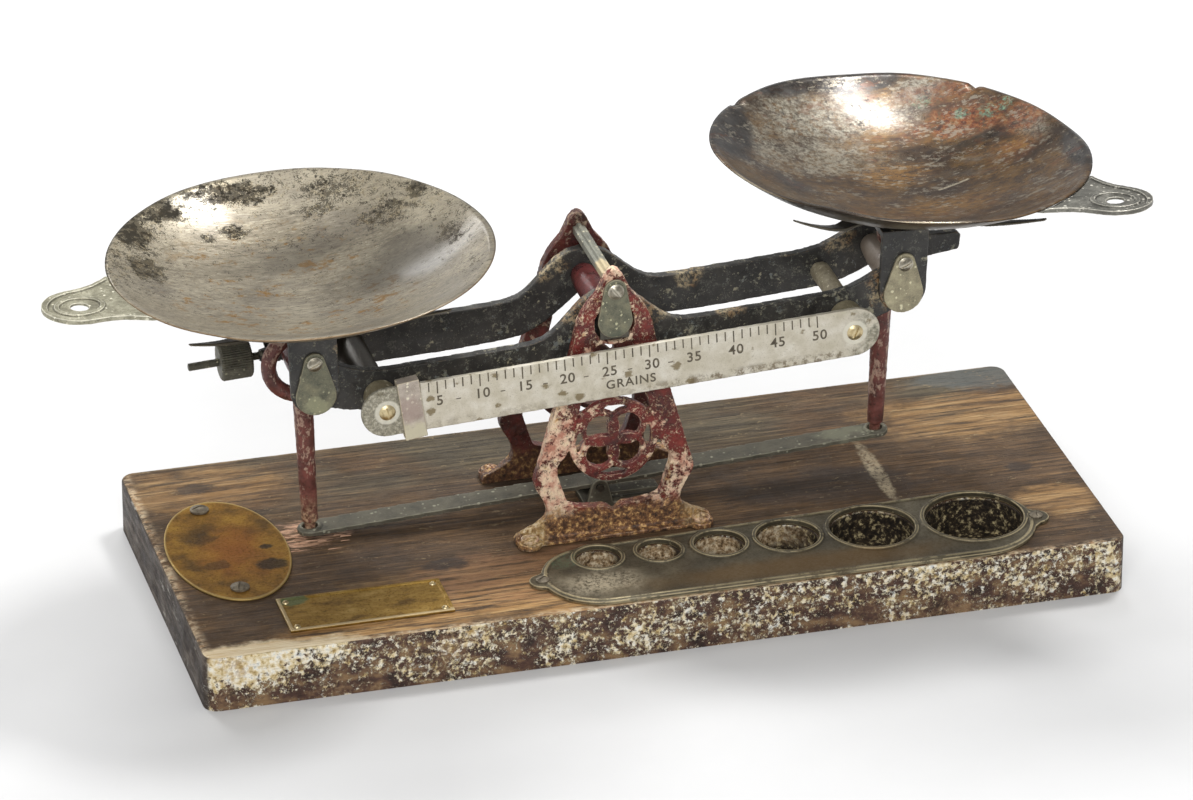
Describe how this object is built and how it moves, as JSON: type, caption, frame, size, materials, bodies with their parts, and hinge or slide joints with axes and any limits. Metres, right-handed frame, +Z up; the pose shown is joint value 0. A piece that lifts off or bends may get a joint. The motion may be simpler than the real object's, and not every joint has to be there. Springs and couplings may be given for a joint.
{
  "type": "equal arm balance scale",
  "caption": "Counter balance with an equal-arm beam on knife edges, lift-off dished pans, graduated bar with sliding weight, balance nut, and a wooden base with a rack of weight wells.",
  "frame": {"origin": "middle of the underside of the base board", "axes": "+X along the board towards the right pan, +Y towards the back, +Z up"},
  "size_m": [0.4108, 0.1555, 0.1599],
  "materials": {
    "base_wood": "worn dark varnish",
    "stand_iron": "old red paint with rust and cream corrosion",
    "stand_tie": "tarnished",
    "beam_iron": "black japan with pale speckle",
    "carrier_iron": "black japan with pale speckle",
    "stem_paint": "maroon paint with cream specks",
    "strut_paint": "worn red paint",
    "spacer_iron": "dull, rough",
    "cover_steel": "grey-green tarnish",
    "screw_steel": "slotted, worn",
    "screw_brass": "slotted, worn",
    "knife_steel": "hardened, dull",
    "stay_iron": "grey-green tarnish",
    "rack_brass": "dull grey-green patina",
    "tag_brass": "orange-brown patina",
    "nameplate_brass": "golden brown with verdigris",
    "grain_plate": "pale plate with brown spots",
    "standoff_brass": "cream corrosion",
    "poise_brass": "greyish brown",
    "nut_steel": "dark, knurled",
    "spider_steel": "black tarnish",
    "left_pan_metal": "tinned, worn and brushed",
    "left_handle_metal": "tinned, cream tarnish",
    "right_pan_metal": "brown and copper patina",
    "right_handle_metal": "dark grey tarnish"
  },
  "bodies": {
    "base": {"base_board": "base_wood", "stand_frame_front": "stand_iron", "stand_frame_rear": "stand_iron", "stand_bearings": "knife_steel", "stand_tie_bar": "stand_tie", "stand_cover_front": "cover_steel", "stand_cover_rear": "cover_steel", "stand_cover_screws": "screw_steel", "stand_foot_screws": "screw_brass", "stay_bracket": "stay_iron", "stay_pin": "stay_iron", "weight_rack": "rack_brass", "rack_screws": "screw_steel", "oval_tag": "tag_brass", "tag_screws": "screw_steel", "nameplate": "nameplate_brass", "nameplate_pins": "nameplate_brass"},
    "beam": {"beam_bar_front": "beam_iron", "beam_bar_rear": "beam_iron", "beam_strut_centre": "strut_paint", "beam_strut_left": "strut_paint", "beam_strut_right": "strut_paint", "beam_spacer_left": "spacer_iron", "beam_spacer_right": "spacer_iron", "centre_knives": "knife_steel", "left_end_knives": "knife_steel", "right_end_knives": "knife_steel", "grain_bar": "grain_plate", "grain_standoffs": "standoff_brass", "grain_screws": "screw_brass", "balance_rod": "nut_steel"},
    "stay": {"stay_link": "stay_iron"},
    "left_carrier": {"left_yoke": "carrier_iron", "left_bearings": "knife_steel", "left_stem": "stem_paint", "left_spider": "spider_steel", "left_cheek_covers": "cover_steel", "left_cover_screws": "screw_steel"},
    "right_carrier": {"right_yoke": "carrier_iron", "right_bearings": "knife_steel", "right_stem": "stem_paint", "right_spider": "spider_steel", "right_cheek_covers": "cover_steel", "right_cover_screws": "screw_steel"},
    "left_pan": {"left_pan_dish": "left_pan_metal", "left_pan_handle": "left_handle_metal"},
    "right_pan": {"right_pan_dish": "right_pan_metal", "right_pan_handle": "right_handle_metal"},
    "poise": {"poise_band": "poise_brass"},
    "nut": {"balance_nut": "nut_steel"}
  },
  "joints": [
    {"name": "beam_tilt", "type": "hinge", "parent": "base", "child": "beam", "pos_m": [-0.0075, 0.007, 0.106], "axis": [0, 1, 0], "range_deg": [0, 6]},
    {"name": "stay_pivot", "type": "hinge", "parent": "base", "child": "stay", "pos_m": [-0.0075, 0.007, 0.0314], "axis": [0, 1, 0], "range_deg": [0, 6]},
    {"name": "left_carrier_hinge", "type": "hinge", "parent": "beam", "child": "left_carrier", "pos_m": [-0.12114, 0.007, 0.10004], "axis": [0, 1, 0], "range_deg": [-6, 0]},
    {"name": "right_carrier_hinge", "type": "hinge", "parent": "beam", "child": "right_carrier", "pos_m": [0.10614, 0.007, 0.11196], "axis": [0, 1, 0], "range_deg": [-6, 0]},
    {"name": "left_pan_lift", "type": "slide", "parent": "left_carrier", "child": "left_pan", "axis": [0, 0, 1], "range_m": [0, 0.06]},
    {"name": "right_pan_lift", "type": "slide", "parent": "right_carrier", "child": "right_pan", "axis": [0, 0, 1], "range_m": [0, 0.06]},
    {"name": "poise_slide", "type": "slide", "parent": "beam", "child": "poise", "axis": [0.9986, 0, 0.0523], "range_m": [0, 0.162]},
    {"name": "nut_travel", "type": "slide", "parent": "beam", "child": "nut", "axis": [-0.9986, 0, -0.0523], "range_m": [-0.002, 0.0105]}
  ],
  "couplings": [
    {"joint": "left_carrier_hinge", "follows": "beam_tilt", "ratio": -1},
    {"joint": "right_carrier_hinge", "follows": "beam_tilt", "ratio": -1},
    {"joint": "stay_pivot", "follows": "beam_tilt", "ratio": 1}
  ]
}
